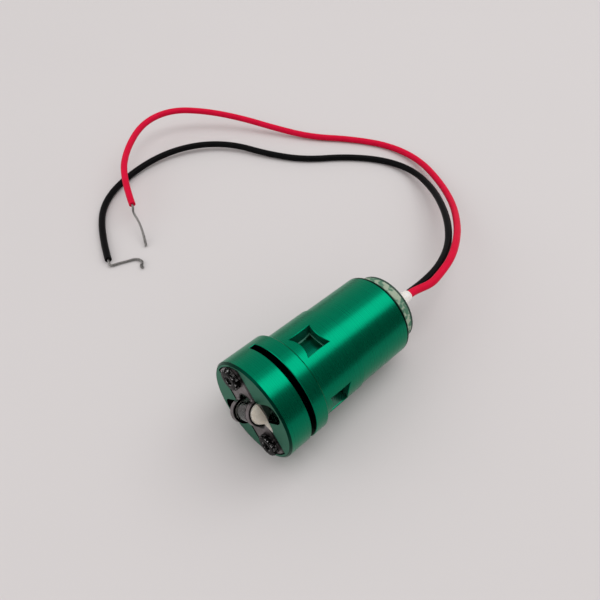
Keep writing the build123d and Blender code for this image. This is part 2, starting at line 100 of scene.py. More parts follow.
BLACK_ROUTE = [
    (0.0017, 0.0215, 0.0085), (0.0011, 0.0264, 0.0081), (-0.0010, 0.0319, 0.0073),
    (-0.0045, 0.0368, 0.0065), (-0.0091, 0.0416, 0.0050),
    (-0.0152, 0.0466, 0.0029), (-0.0225, 0.0500, 0.0012), (-0.0296, 0.0488, 0.00065),
    (-0.0362, 0.0435, 0.00065), (-0.0416, 0.0364, 0.00065), (-0.0484, 0.0318, 0.0008),
    (-0.0560, 0.0282, 0.0012), (-0.0611, 0.0224, 0.0014), (-0.0637, 0.0149, 0.0013),
    (-0.0636, 0.0064, 0.0008), (-0.0606, -0.0018, 0.00065), (-0.0538, -0.0073, 0.00065),
    (-0.0458, -0.0105, 0.00065),
]
RED_STRAND = [(-0.0509, -0.0010, 0.0030), (-0.0490, -0.0012, 0.0022), (-0.0466, -0.0020, 0.0013),
              (-0.04405, -0.0033, 0.0003)]
BLACK_STRAND = [(-0.0444, -0.0111, 0.0004), (-0.0440, -0.0095, 0.0003), (-0.0434, -0.0082, 0.0003),
                (-0.0427, -0.0063, 0.0003), (-0.0411, -0.0060, 0.0003), (-0.0405, -0.0071, 0.0003),
                (-0.0398, -0.0068, 0.0003)]
CONDUCTOR_RADIUS = 0.075 * MM
CONDUCTOR_LAY = 0.15 * MM
CONDUCTOR_TWIST = 3.4 * MM
OUTER_CONDUCTORS = 6
LEAD_STEPS = 16
LEAD_ROUNDNESS = 6
STRAND_STEPS = 40
STRAND_ROUNDNESS = 2

# Each conductor's bend out of the twist, in millimetres, and the share of the stripped end that it reaches
RED_FLARES = [(0, 1.0), (0.1, 0.97), (0.3, 0.93), (0.1, 1.0), (0.5, 0.88), (0.2, 0.95), (0.1, 0.99)]
BLACK_FLARES = [(0, 1.0), (0.3, 0.96), (0.1, 1.0), (0.6, 0.9), (0.2, 0.98), (0.4, 0.94), (0.1, 1.0)]
FLARE_START = 0.45

# Camera that the photograph was taken from
CAMERA_PLACE = (0.033646, -0.037204, 0.083078)
CAMERA_RIGHT = (0.6921, 0.7218, 0.0)
CAMERA_BACK = (0.4519, -0.4333, 0.7797)
CAMERA_LENS = 36.0
CAMERA_SENSOR = 36.0
CAMERA_CLIP_START = 0.001


def module_frame():
    """The module's own frame in the row frame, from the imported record's tail mount."""
    mount = next(m for m in frame["record"]["mounts"] if m["name"] == "tail_barrel")
    along = Vector(mount["axis"]).normalized()
    side = Vector((1, 0, 0))
    place = Matrix((side.cross(along), side, along)).transposed().to_4x4()
    place.translation = Vector(mount["pos_m"]) - along * TAIL_MOUNT_DEPTH_MM * MM
    return place


MODULE = module_frame()


def in_module(x, y, z):
    """A point given in the module's millimetres, in the row frame."""
    return MODULE @ (Vector((x, y, z)) * MM)


def on_face(x, y):
    """A point of the rod's axes on the front face, in the module's axes."""
    c, s = cos(FRONT_ANGLE), sin(FRONT_ANGLE)
    return x * c - y * s, x * s + y * c


def link(obj):
    bpy.context.scene.collection.objects.link(obj)
    return obj


def add_piece(obj, slot, *stands_for):
    """Puts a piece on the module and hides the solids that it stands for; its finish slot is not used."""
    if obj.name not in bpy.context.scene.collection.objects:
        link(obj)
    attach(obj, "root")
    if stands_for:
        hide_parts(*stands_for)
    return obj


def make_camera():
    right, back = Vector(CAMERA_RIGHT).normalized(), Vector(CAMERA_BACK).normalized()
    place = Matrix((right, back.cross(right), back)).transposed().to_4x4()
    place.translation = CAMERA_PLACE
    data = bpy.data.cameras.new("camera")
    data.lens = CAMERA_LENS
    data.sensor_width = CAMERA_SENSOR
    data.clip_start = CAMERA_CLIP_START
    camera = link(bpy.data.objects.new("camera", data))
    camera.matrix_world = place
    bpy.context.scene.camera = camera


def new_curve(name, roundness):
    """An empty curve object whose splines become tubes of their points' radius, or lines at roundness 0."""
    data = bpy.data.curves.new(name, "CURVE")
    data.dimensions = "3D"
    data.bevel_depth = 1.0 if roundness else 0.0
    data.bevel_resolution = roundness
    data.use_fill_caps = True
    return bpy.data.objects.new(name, data)


def add_spline(curve, kind, points, radius):
    """One spline through, or for NURBS near, the given points."""
    spline = curve.data.splines.new(kind)
    spline.points.add(len(points) - 1)
    for point, place in zip(spline.points, points):
        point.co = (*place, 1)
        point.radius = radius
    return spline


def smooth_line(name, points, resolution, radius=0.0, roundness=0):
    """A curve object of one NURBS spline with the given control points."""
    curve = new_curve(name, roundness)
    curve.data.resolution_u = resolution
    spline = add_spline(curve, "NURBS", points, radius)
    spline.order_u = 3
    spline.use_endpoint_u = True
    return curve


def line_points(points, resolution):
    """Points read along the smooth line of a route."""
    line = smooth_line("route_line", points, resolution)
    mesh = bpy.data.meshes.new_from_object(line)
    found = [v.co.copy() for v in mesh.vertices]
    bpy.data.meshes.remove(mesh)
    bpy.data.objects.remove(line)
    return found


def walk(points):
    """Each point of a line with its distance along it and two directions across it that don't twist."""
    across = Vector((0, 0, 1))
    run = 0.0
    for i, point in enumerate(points):
        ahead = points[min(i + 1, len(points) - 1)] - points[max(i - 1, 0)]
        ahead.normalize()
        across = (across - ahead * across.dot(ahead)).normalized()
        if i:
            run += (point - points[i - 1]).length
        yield point, run, across, ahead.cross(across)


def make_strands(name, points, node, flares):
    """The stripped end of a lead: six tinned conductors twisted round a seventh, parting towards the tip."""
    line = list(walk(line_points(points, STRAND_STEPS)))
    total = line[-1][1]
    strands = new_curve(name, STRAND_ROUNDNESS)
    for number, (flare, reach) in enumerate(flares):
        lay = CONDUCTOR_LAY if number else 0.0
        places = []
        for point, run, across, over in line:
            share = run / total
            if share > reach:
                break
            angle = tau * (number / OUTER_CONDUCTORS + run / CONDUCTOR_TWIST)
            radius = lay + flare * MM * max(0.0, share - FLARE_START) ** 2
            place = point + (across * cos(angle) + over * sin(angle)) * radius
            place.z = max(place.z, CONDUCTOR_RADIUS)
            places.append(place)
        add_spline(strands, "POLY", places, CONDUCTOR_RADIUS)
    return add_piece(strands, "tinned_copper", node)


def make_lead(colour, pad, route, strand, flares):
    """One insulated lead with its stripped end."""
    start = in_module(*pad, SOLDER_TOP_MM)
    leaving = in_module(*pad, SOLDER_TOP_MM + EXIT_RUN_MM)
    points = [start, leaving, *route]
    lead = smooth_line(colour + "_lead", points, LEAD_STEPS, WIRE_DIAMETER / 2, LEAD_ROUNDNESS)
    add_piece(lead, colour + "_insulation", colour + "_wire")
    cut = Vector(route[-1])
    out = cut + (cut - Vector(route[-2])).normalized() * STRAND_EXIT_MM * MM
    strands = make_strands(colour + "_lead_strands", [cut, out, *strand], colour + "_wire_end", flares)
    return lead, strands


make_camera()
red_lead, red_strands = make_lead(
    "red", RED_PAD_MM, RED_ROUTE, RED_STRAND, RED_FLARES)
black_lead, black_strands = make_lead(
    "black", BLACK_PAD_MM, BLACK_ROUTE, BLACK_STRAND, BLACK_FLARES)


def ring_mesh(name, rings, segments):
    """A closed mesh through rings of points; a ring is a radius, or a radius for each angle, and a height."""
    shape = bmesh.new()
    loops = []
    for radius, height in rings:
        loop = []
        for i in range(segments):
            angle = tau * i / segments
            r = radius(angle) if callable(radius) else radius
            loop.append(shape.verts.new((r * cos(angle), r * sin(angle), height)))
        loops.append(loop)
    for below, above in zip(loops, loops[1:]):
        for i in range(segments):
            j = (i + 1) % segments
            shape.faces.new((below[i], below[j], above[j], above[i]))
    shape.faces.new(reversed(loops[0]))
    shape.faces.new(loops[-1])
    bmesh.ops.recalc_face_normals(shape, faces=shape.faces)
    mesh = bpy.data.meshes.new(name)
    shape.to_mesh(mesh)
    shape.free()
    return mesh


def shade(mesh, sharp_angle):
    """Smooth shading, with edges kept sharp above an angle."""
    mesh.shade_smooth()
    mesh.set_sharp_from_angle(angle=sharp_angle)


def place_mesh(name, mesh, x, y, z, slot, *stands_for):
    """A mesh made in millimetres about its own axis, put at a point of the module."""
    mesh.transform(MODULE @ Matrix.Scale(MM, 4) @ Matrix.Translation((x, y, z)))
    return add_piece(bpy.data.objects.new(name, mesh), slot, *stands_for)


# Low-head screws of the clip
HEAD_RADIUS_MM = 1.7
HEAD_HEIGHT_MM = 0.8
HEAD_EDGE_MM = 0.15
HEAD_EDGE_MIDDLE = (0.55, 0.4)
HEAD_FACE_INSET_MM = 0.02
HEAD_FOOT_MM = 0.08
HEAD_FOOT_INSET_MM = 0.04
KNURL_COUNT = 24
KNURL_DEPTH_MM = 0.13
SOCKET_APOTHEM_MM = 0.65
SOCKET_DEPTH_MM = 0.5
SOCKET_MOUTH_MM = 0.05
SOCKET_MOUTH_DEPTH_MM = 0.06
SHANK_RADIUS_MM = 1.0
SHANK_LENGTH_MM = 3.2
THREAD_PITCH_MM = 0.4
THREAD_DEPTH_MM = 0.2
THREAD_STEPS = 8
THREAD_RUN_OUT_STEPS = 2
SCREW_SEGMENTS = 144
SCREW_SHARP_ANGLE = radians(35)


def make_screw(name, side, node):
    """A knurled socket screw with a rolled thread."""
    front = -HEAD_HEIGHT_MM

    def knurl(angle):
        return HEAD_RADIUS_MM - KNURL_DEPTH_MM * (0.5 + 0.5 * cos(KNURL_COUNT * angle))

    def hexagon(angle):
        return SOCKET_APOTHEM_MM / cos((angle + pi / 6) % (pi / 3) - pi / 6)

    def thread(height):
        def radius(angle):
            phase = (height / THREAD_PITCH_MM - angle / tau) % 1.0
            return SHANK_RADIUS_MM - THREAD_DEPTH_MM * abs(2 * phase - 1)
        return radius

    edge_in, edge_back = HEAD_EDGE_MIDDLE
    rings = [
        (hexagon, front + SOCKET_DEPTH_MM),
        (hexagon, front + SOCKET_MOUTH_DEPTH_MM),
        (SOCKET_APOTHEM_MM / cos(pi / 6) + SOCKET_MOUTH_MM, front),
        (HEAD_RADIUS_MM - HEAD_EDGE_MM - HEAD_FACE_INSET_MM, front),
        (HEAD_RADIUS_MM - HEAD_EDGE_MM * edge_in, front + HEAD_EDGE_MM * edge_back),
        (knurl, front + HEAD_EDGE_MM),
        (knurl, -HEAD_FOOT_MM),
        (HEAD_RADIUS_MM - KNURL_DEPTH_MM - HEAD_FOOT_INSET_MM, 0.0),
        (SHANK_RADIUS_MM, 0.0),
    ]
    steps = int(SHANK_LENGTH_MM / THREAD_PITCH_MM * THREAD_STEPS)
    for i in range(THREAD_RUN_OUT_STEPS, steps - THREAD_RUN_OUT_STEPS):
        height = SHANK_LENGTH_MM * i / steps
        rings.append((thread(height), height))
    rings.append((SHANK_RADIUS_MM - THREAD_DEPTH_MM, SHANK_LENGTH_MM))
    mesh = ring_mesh(name, rings, SCREW_SEGMENTS)
    shade(mesh, SCREW_SHARP_ANGLE)
    x, y = on_face(0, side * SCREW_OFFSET_MM)
    return place_mesh(name, mesh, x, y, CLIP_FRONT_MM, "black_steel", node)


screws = [
    make_screw("upper_screw", -1, "clip_screw_upper"),
    make_screw("lower_screw", 1, "clip_screw_lower"),
]

# Solder fillets of the diode's leads
FILLET_RADIUS_MM = 0.65
FILLET_TOP_MM = 0.3
FILLET_HEIGHT_MM = 0.55
FILLET_POWER = 2.2
FILLET_STEPS = 10
FILLET_SEGMENTS = 40
FILLET_SHARP_ANGLE = radians(40)


def make_lead_fillets():
    """Three concave fillets that climb the diode's leads."""
    joined = bmesh.new()
    for angle in LEAD_ANGLES:
        rings = []
        for i in range(FILLET_STEPS + 1):
            share = i / FILLET_STEPS
            radius = FILLET_TOP_MM + (FILLET_RADIUS_MM - FILLET_TOP_MM) * (1 - share) ** FILLET_POWER
            rings.append((radius, FILLET_HEIGHT_MM * share))
        fillet = ring_mesh("fillet", rings, FILLET_SEGMENTS)
        x, y = LEAD_CIRCLE_RADIUS_MM * cos(angle), LEAD_CIRCLE_RADIUS_MM * sin(angle)
        fillet.transform(Matrix.Translation((x, y, 0)))
        joined.from_mesh(fillet)
        bpy.data.meshes.remove(fillet)
    mesh = bpy.data.meshes.new("lead_fillets")
    joined.to_mesh(mesh)
    joined.free()
    shade(mesh, FILLET_SHARP_ANGLE)
    return place_mesh("lead_fillets", mesh, 0, 0, BOARD_REAR_MM, "solder", "lead_solder")


lead_fillets = make_lead_fillets()

# Glue round the leads
GLUE_VOXEL = 0.09 * MM
GLUE_SMOOTHINGS = 12


def make_glue():
    """The glue's solid, softened as it set."""
    blob = bpy.data.objects.new("glue_blob", NODES["wire_glue"].data.copy())
    link(blob)
    blob.data.materials.clear()
    remesh = blob.modifiers.new("remesh", "REMESH")
    remesh.mode = "VOXEL"
    remesh.voxel_size = GLUE_VOXEL
    smooth = blob.modifiers.new("smooth", "SMOOTH")
    smooth.iterations = GLUE_SMOOTHINGS
    softened = bpy.data.meshes.new_from_object(blob.evaluated_get(bpy.context.evaluated_depsgraph_get()))
    blob.modifiers.clear()
    blob.data = softened
    shade(softened, pi)
    return add_piece(blob, "white_glue", "wire_glue")


glue_blob = make_glue()

# Glue over the rod's right end: a dab on the end's outer half, with a tail along the clip's edge
END_GLUE_SIDES_MM = (-1.48, 3.2)
END_GLUE_REACH_MM = 0.75
END_GLUE_POWER = 0.8
END_GLUE_RADIUS_MM = 1.48
END_GLUE_TAIL_MM = 0.75
END_GLUE_DEPTH_MM = 0.3
END_GLUE_STEPS = 32
END_GLUE_MERGE_MM = 1e-4
END_GLUE_SHARP_ANGLE = radians(60)


def make_end_glue():
    """A dab on the rod's end that runs down into the groove's mouth and thins out along the clip's edge."""
    low, high = END_GLUE_SIDES_MM
    places = range(END_GLUE_STEPS + 1)
    shape = bmesh.new()
    top, bottom = {}, {}
    for i in places:
        share = (1 - cos(pi * i / END_GLUE_STEPS)) / 2
        side = low + (high - low) * share
        inner = 0 < i < END_GLUE_STEPS
        reach = END_GLUE_REACH_MM * sin(pi * i / END_GLUE_STEPS) ** END_GLUE_POWER if inner else 0.0
        plug = max(0.0, 1 - (side / END_GLUE_RADIUS_MM) ** 2) ** 0.5
        tail = END_GLUE_TAIL_MM * min(1.0, max(0.0, side)) * (1 - side / high)
        crown = max((END_GLUE_RADIUS_MM - ROD_CENTRE_MM) * plug, tail)
        for j in places:
            angle = pi / 2 * j / END_GLUE_STEPS
            x, y = on_face(ROD_HALF_LENGTH_MM + reach * sin(angle), side)
            fall = max(0.0, cos(angle))
            top[i, j] = shape.verts.new((x, y, -crown * fall))
            bottom[i, j] = shape.verts.new((x, y, END_GLUE_DEPTH_MM * plug * fall))
    for i in places[:-1]:
        for j in places[:-1]:
            for skin in (top, bottom):
                shape.faces.new((skin[i, j], skin[i + 1, j], skin[i + 1, j + 1], skin[i, j + 1]))
        shape.faces.new((top[i, 0], top[i + 1, 0], bottom[i + 1, 0], bottom[i, 0]))
    bmesh.ops.remove_doubles(shape, verts=shape.verts, dist=END_GLUE_MERGE_MM)
    bmesh.ops.dissolve_degenerate(shape, edges=shape.edges, dist=END_GLUE_MERGE_MM)
    bmesh.ops.recalc_face_normals(shape, faces=shape.faces)
    mesh = bpy.data.meshes.new("rod_end_glue")
    shape.to_mesh(mesh)
    shape.free()
    shade(mesh, END_GLUE_SHARP_ANGLE)
    return place_mesh("rod_end_glue", mesh, 0, 0, 0, "white_glue")


end_glue = make_end_glue()


class Shader:
    """A node material being put together round its Principled shader."""

    def __init__(self, name, sockets=None):
        self.material = bpy.data.materials.new(name)
        self.material.use_nodes = True
        self.tree = self.material.node_tree
        self.bsdf = self.tree.nodes["Principled BSDF"]
        for socket, value in (sockets or {}).items():
            self.set(socket, value)

    def set(self, socket, value):
        self.feed(self.bsdf.inputs[socket], value)

    def feed(self, socket, value):
        if isinstance(value, bpy.types.NodeSocket):
            self.tree.links.new(value, socket)
        else:
            socket.default_value = value

    def node(self, kind, inputs, **settings):
        made = self.tree.nodes.new("ShaderNode" + kind)
        for setting, value in settings.items():
            setattr(made, setting, value)
        for socket, value in inputs.items():
            self.feed(made.inputs[socket], value)
        return made

    def math(self, operation, *values):
        return self.node("Math", dict(enumerate(values)), operation=operation).outputs[0]

    def mix(self, share, first, second):
        return self.node("Mix", {0: share, 6: first, 7: second}, data_type="RGBA").outputs[2]

    def blend(self, share, first, second):
        return self.node("Mix", {0: share, 2: first, 3: second}, data_type="FLOAT").outputs[0]

    def span(self, value, low, high, first=0.0, second=1.0):
        """first below low, second above high, and an even change between."""
        inputs = {"Value": value, "From Min": low, "From Max": high, "To Min": first, "To Max": second}
        return self.node("MapRange", inputs).outputs[0]

    def between(self, value, low, high):
        """1 where a value lies between two limits, else 0."""
        above = self.math("GREATER_THAN", value, low)
        return self.math("MULTIPLY", above, self.math("LESS_THAN", value, high))

    def distance(self, first, second):
        """How far a point lies from an axis, by its two offsets from it."""
        squares = [self.math("MULTIPLY", offset, offset) for offset in (first, second)]
        return self.math("SQRT", self.math("ADD", *squares))

    def noise(self, vector, scale, detail=2.0, roughness=0.5):
        inputs = {"Vector": vector, "Scale": scale, "Detail": detail, "Roughness": roughness}
        return self.node("TexNoise", inputs).outputs["Fac"]

    def line_noise(self, value, scale, detail=2.0):
        inputs = {"W": value, "Scale": scale, "Detail": detail}
        return self.node("TexNoise", inputs, noise_dimensions="1D").outputs["Fac"]

    def vector(self, x, y, z):
        return self.node("CombineXYZ", {0: x, 1: y, 2: z}).outputs[0]

    def place(self):
        """The surface point in the module's millimetres: the vector, its three parts and its radius."""
        turn = MODULE.inverted()
        coordinates = self.node("TexCoord", {}).outputs["Object"]
        mapped = self.node("Mapping", {
            "Vector": coordinates, "Location": turn.translation / MM,
            "Rotation": turn.to_euler(), "Scale": (1 / MM,) * 3}).outputs[0]
        parts = self.node("SeparateXYZ", {0: mapped}).outputs
        return mapped, parts[0], parts[1], parts[2], self.distance(parts[0], parts[1])

    def rod_axes(self, x, y):
        """A surface point's place on the front face, along the rod and along the clip."""
        c, n = cos(FRONT_ANGLE), sin(FRONT_ANGLE)
        across = self.math("ADD", self.math("MULTIPLY", x, c), self.math("MULTIPLY", y, n))
        along = self.math("SUBTRACT", self.math("MULTIPLY", y, c), self.math("MULTIPLY", x, n))
        return across, along

    def millimetres(self):
        """The surface point in the row frame's millimetres."""
        coordinates = self.node("TexCoord", {}).outputs["Object"]
        return self.node("Mapping", {"Vector": coordinates, "Scale": (1 / MM,) * 3}).outputs[0]

    def bump(self, height, distance_mm, strength=1.0):
        inputs = {"Height": height, "Distance": distance_mm * MM, "Strength": strength}
        self.set("Normal", self.node("Bump", inputs).outputs[0])


def paint(shader, *objects):
    for obj in objects:
        obj.data.materials.clear()
        obj.data.materials.append(shader.material)


# Zones that the finishes tell apart: margins past a surface, and the widths of bands along edges, many of
# them bands of painted shade or highlight
SURFACE_MARGIN_MM = 0.01
FACE_MARGIN_MM = 0.02
SKIN_MARGIN_MM = 0.09
ZONE_MARGIN_MM = 0.1
RIM_SHADE_MM = 0.32
REAR_SHADE_MM = 0.3
WINDOW_SHADE_MM = 0.3
WINDOW_LIP_HIGHLIGHT_MM = 0.3
CLIP_SHADE_LEFT_MM = 0.2
CLIP_SHADE_RIGHT_MM = 0.65
ARCH_UNSHADED_MM = 0.14
SLOT_SHADE_MM = 0.2
ROD_END_SHADE_MM = (0.15, 0.6)
SOCKET_RUBBED_MM = 0.16
BOARD_EDGE_MM = 0.03
BOARD_FRONT_SHADE_MM = 0.5
BOARD_REAR_BAND_MM = 0.35
END_CAP_MM = 0.31
CHIP_PART_ZONE_MM = 0.7
RESISTOR_PRINT_MM = 0.405


def green_anodised():
    """Dyed aluminium with faint turning marks, matt on the front face, with painted shade in recesses and
    painted highlights in the windows.
    """
    s = Shader("green_anodised_finish", {"Specular Tint": (0.8, 0.95, 0.87, 1)})
    point, _, _, z, r = s.place()
    marks = s.line_noise(s.math("ADD", z, r), 2.0, 5.0)
    cloud = s.noise(point, 0.6, 3.0)
    green = s.mix(marks, (0.0004, 0.197, 0.099, 1), (0.0005, 0.207, 0.107, 1))
    green = s.mix(s.span(cloud, 0.35, 0.7, 0.0, 0.35), green, (0.0004, 0.175, 0.092, 1))
    front = s.math("LESS_THAN", z, FACE_MARGIN_MM)
    green = s.mix(front, green, s.mix(cloud, (0.03, 0.16, 0.1, 1), (0.05, 0.19, 0.13, 1)))
    # Painted shade: the groove, the beam bore, the slit, the rear chamfer and a band before it are darkened
    # nearly to black.
    groove = s.math("MULTIPLY", s.between(z, FACE_MARGIN_MM, GROOVE_DEPTH_MM + ZONE_MARGIN_MM),
                    s.math("LESS_THAN", r, GROOVE_REACH_MM))
    bore = s.math("LESS_THAN", r, BEAM_RADIUS_MM + SURFACE_MARGIN_MM)
    cut = s.between(z, SLIT_START_MM - SURFACE_MARGIN_MM, SLIT_END_MM + SURFACE_MARGIN_MM)
    slit = s.math("MULTIPLY", cut, s.math("LESS_THAN", r, FLANGE_RADIUS_MM - SKIN_MARGIN_MM))
    rear_start = HOUSING_LENGTH_MM - REAR_CHAMFER_MM - REAR_SHADE_MM
    rear = s.between(z, rear_start, HOUSING_LENGTH_MM - FACE_MARGIN_MM)
    black = s.math("MAXIMUM", s.math("MAXIMUM", groove, bore), s.math("MAXIMUM", slit, rear))
    # Painted shade: a dark band round the front flange's chamfer.
    rim_shade = s.math("MULTIPLY", s.math("LESS_THAN", z, RIM_SHADE_MM),
                 s.math("GREATER_THAN", r, FLANGE_RADIUS_MM - RIM_SHADE_MM))
    green = s.mix(rim_shade, green, (0.0004, 0.03, 0.018, 1))
    green = s.mix(black, green, (0.0004, 0.012, 0.008, 1))
    # Painted shade in the windows: the walls darken with depth below the barrel's surface, and the sleeve
    # behind them is darker still.
    barrel = s.between(z, FLANGE_LENGTH_MM + ZONE_MARGIN_MM, TAIL_START_MM - ZONE_MARGIN_MM)
    window_depth_shade = s.math("MULTIPLY", barrel,
                    s.span(r, BARREL_RADIUS_MM - SKIN_MARGIN_MM, BARREL_RADIUS_MM - WINDOW_SHADE_MM))
    # Painted highlight: a pale band along the windows' lips at the bore.
    lip_highlight = s.math("MULTIPLY", barrel,
                 s.between(r, BORE_RADIUS_MM - SURFACE_MARGIN_MM, BORE_RADIUS_MM + WINDOW_LIP_HIGHLIGHT_MM))
    sleeve = s.math("LESS_THAN", r, BORE_RADIUS_MM - SURFACE_MARGIN_MM)
    inside_shade_and_highlight = s.mix(sleeve, (0.002, 0.085, 0.05, 1), (0.0005, 0.07, 0.04, 1))
    inside_shade_and_highlight = s.mix(lip_highlight, inside_shade_and_highlight, (0.2, 0.6, 0.45, 1))
    s.set("Base Color", s.mix(window_depth_shade, green, inside_shade_and_highlight))
    s.set("Metallic", s.blend(window_depth_shade, 1.0, s.blend(sleeve, 0.35, 1.0)))
    s.set("Roughness", s.blend(front, s.span(marks, 0.3, 0.7, 0.27, 0.28), 0.42))
    s.bump(s.line_noise(s.math("ADD", z, r), 30.0, 3.0), 0.002, 0.012)
    return s


def spring_steel(name, edge_shade):
    """Rolled steel, brushed along the strip and a little stained; on the clip, painted shade darkens the
    punched edges and round the slot.
    """
    s = Shader(name, {"Metallic": 1.0})
    point, x, y, z, _ = s.place()
    across, along = s.rod_axes(x, y)
    grain = s.noise(s.vector(s.math("MULTIPLY", across, 14.0), along, z), 1.0, 3.0)
    stain = s.noise(point, 0.9, 4.0, 0.6)
    steel = s.mix(grain, (0.13, 0.115, 0.12, 1), (0.25, 0.228, 0.235, 1))
    steel = s.mix(s.span(stain, 0.4, 0.7, 0.0, 0.6), steel, (0.13, 0.105, 0.105, 1))
    if edge_shade:
        # Painted shade: near-black bands along the clip's flat edges, wider on the right, on the inner half
        # of the arch's edge and round the slot.
        beside = s.math("ABSOLUTE", across)
        off_rod = s.distance(along, s.math("SUBTRACT", z, ROD_CENTRE_MM))
        arch = s.math("LESS_THAN", off_rod, CLIP_ARCH_RADIUS_MM + FACE_MARGIN_MM)
        flat_edge_shade = s.math("MAXIMUM", s.math("GREATER_THAN", across, CLIP_HALF_WIDTH_MM - CLIP_SHADE_RIGHT_MM),
                           s.math("LESS_THAN", across, CLIP_SHADE_LEFT_MM - CLIP_HALF_WIDTH_MM))
        arch_edge_shade = s.math("MULTIPLY", s.math("GREATER_THAN", beside, CLIP_HALF_WIDTH_MM - SURFACE_MARGIN_MM),
                           s.math("LESS_THAN", off_rod, CLIP_ARCH_RADIUS_MM - ARCH_UNSHADED_MM))
        side = s.blend(arch, flat_edge_shade, arch_edge_shade)
        past = s.math("MAXIMUM", s.math("SUBTRACT", s.math("ABSOLUTE", along), SLOT_HALF_RUN_MM), 0.0)
        slot = s.math("LESS_THAN", s.distance(past, across), SLOT_RADIUS_MM + SLOT_SHADE_MM)
        steel = s.mix(s.math("MAXIMUM", side, slot), steel, (0.006, 0.0055, 0.0055, 1))
    s.set("Base Color", steel)
    s.set("Roughness", s.span(stain, 0.3, 0.7, 0.24, 0.42))
    s.bump(grain, 0.004, 0.6)
    return s


def glass(name, frosted_ends):
    """Polished glass; the rod's sawn ends are ground white, with painted shade darkening them down in the
    groove.
    """
    s = Shader(name, {"Base Color": (0.93, 0.96, 0.95, 1), "IOR": 1.52})
    point, x, y, z, _ = s.place()
    speck = s.noise(point, 6.0, 3.0)
    if frosted_ends:
        across, _ = s.rod_axes(x, y)
        ground = s.math("GREATER_THAN", s.math("ABSOLUTE", across), ROD_HALF_LENGTH_MM - ZONE_MARGIN_MM)
        chalk = s.mix(speck, (0.96, 0.91, 0.8, 1), (1.0, 0.97, 0.9, 1))
        # Painted shade: the ground end darkens with depth, down in the groove.
        end = s.mix(s.span(z, *ROD_END_SHADE_MM), chalk, (0.03, 0.06, 0.042, 1))
        s.set("Base Color", s.mix(ground, (0.72, 0.76, 0.77, 1), end))
        s.set("Roughness", s.blend(ground, 0.03, 0.6))
        s.set("Transmission Weight", s.blend(ground, 1.0, 0.0))
    else:
        s.set("Roughness", s.span(speck, 0.3, 0.7, 0.01, 0.06))
        s.set("Transmission Weight", 1.0)
    return s


def metal(name, dark, light, roughness, scale):
    """Plain metal with a fine uneven surface."""
    s = Shader(name, {"Metallic": 1.0})
    grain = s.noise(s.millimetres(), scale, 4.0, 0.6)
    s.set("Base Color", s.mix(s.span(grain, 0.3, 0.7), (*dark, 1), (*light, 1)))
    s.set("Roughness", s.span(grain, 0.3, 0.7, roughness - 0.08, roughness + 0.08))
    s.bump(grain, 0.006, 0.5)
    return s


def black_steel():
    """Black oxide, uneven, rubbed bright in places on the knurl and round the socket."""
    s = Shader("black_steel_finish", {"Specular IOR Level": 0.05})
    point, x, y, _, _ = s.place()
    grain = s.noise(point, 5.0, 4.0, 0.6)
    pits = s.noise(point, 2.2, 3.0, 0.6)
    across, along = s.rod_axes(x, y)
    off_axis = s.distance(across, s.math("SUBTRACT", s.math("ABSOLUTE", along), SCREW_OFFSET_MM))
    socket = s.between(off_axis, SOCKET_APOTHEM_MM - FACE_MARGIN_MM, SOCKET_APOTHEM_MM + SOCKET_RUBBED_MM)
    edges = s.math("MAXIMUM", s.math("GREATER_THAN", off_axis, HEAD_RADIUS_MM - HEAD_EDGE_MM), socket)
    worn = s.math("MULTIPLY", edges, s.span(s.noise(point, 2.4, 2.0, 0.5), 0.53, 0.6))
    oxide = s.mix(s.span(grain, 0.5, 0.8), (0.002, 0.002, 0.0022, 1), (0.012, 0.0115, 0.0115, 1))
    s.set("Base Color", s.mix(worn, oxide, (0.3, 0.3, 0.3, 1)))
    s.set("Metallic", worn)
    s.set("Roughness", s.span(grain, 0.3, 0.7, 0.2, 0.4))
    s.bump(pits, 0.06, 0.5)
    return s


def insulation(name, base, deep, roughness):
    """Soft extruded insulation: a faint grain along it and handling marks."""
    s = Shader(name, {"Specular IOR Level": 0.05})
    mm = s.millimetres()
    patch = s.noise(mm, 0.5, 3.0)
    fine = s.noise(mm, 5.0, 3.0)
    s.set("Base Color", s.mix(s.span(patch, 0.3, 0.7), (*base, 1), (*deep, 1)))
    s.set("Roughness", s.span(fine, 0.3, 0.7, roughness - 0.06, roughness + 0.08))
    s.bump(fine, 0.01, 0.25)
    return s


def board_laminate():
    """Glass laminate at the edge, with painted shade next to the housing; green solder mask over copper on
    the faces.
    """
    s = Shader("board_finish", {"IOR": 1.5})
    point, x, y, z, r = s.place()
    edge = s.math("GREATER_THAN", r, BOARD_RADIUS_MM - BOARD_EDGE_MM)
    weave = s.noise(s.vector(x, y, s.math("MULTIPLY", z, 6.0)), 3.0, 3.0)
    patch = s.noise(point, 0.9, 2.0)
    laminate = s.mix(weave, (0.27, 0.35, 0.25, 1), (0.38, 0.46, 0.35, 1))
    laminate = s.mix(s.span(patch, 0.43, 0.53), laminate, (0.06, 0.18, 0.11, 1))
    # Painted shade darkens the edge next to the housing, in the gap between them; the same dark colour makes
    # a band at the rear of the edge.
    skin = s.math("MAXIMUM", s.math("GREATER_THAN", z, BOARD_REAR_MM - BOARD_REAR_BAND_MM),
                  s.math("LESS_THAN", z, HOUSING_LENGTH_MM + BOARD_FRONT_SHADE_MM))
    laminate = s.mix(skin, laminate, (0.008, 0.04, 0.024, 1))
    cells = s.node("TexVoronoi", {"Vector": s.vector(x, y, 0.0), "Scale": 0.45}, distance="CHEBYCHEV",
                   feature="F2").outputs["Distance"]
    copper = s.math("GREATER_THAN", cells, 0.72)
    mask = s.mix(copper, (0.008, 0.085, 0.035, 1), (0.015, 0.17, 0.06, 1))
    s.set("Base Color", s.mix(edge, mask, laminate))
    s.set("Roughness", s.blend(edge, s.span(weave, 0.3, 0.7, 0.2, 0.32), 0.6))
    s.bump(s.math("ADD", copper, s.math("MULTIPLY", weave, 0.2)), 0.02, 0.5)
    return s


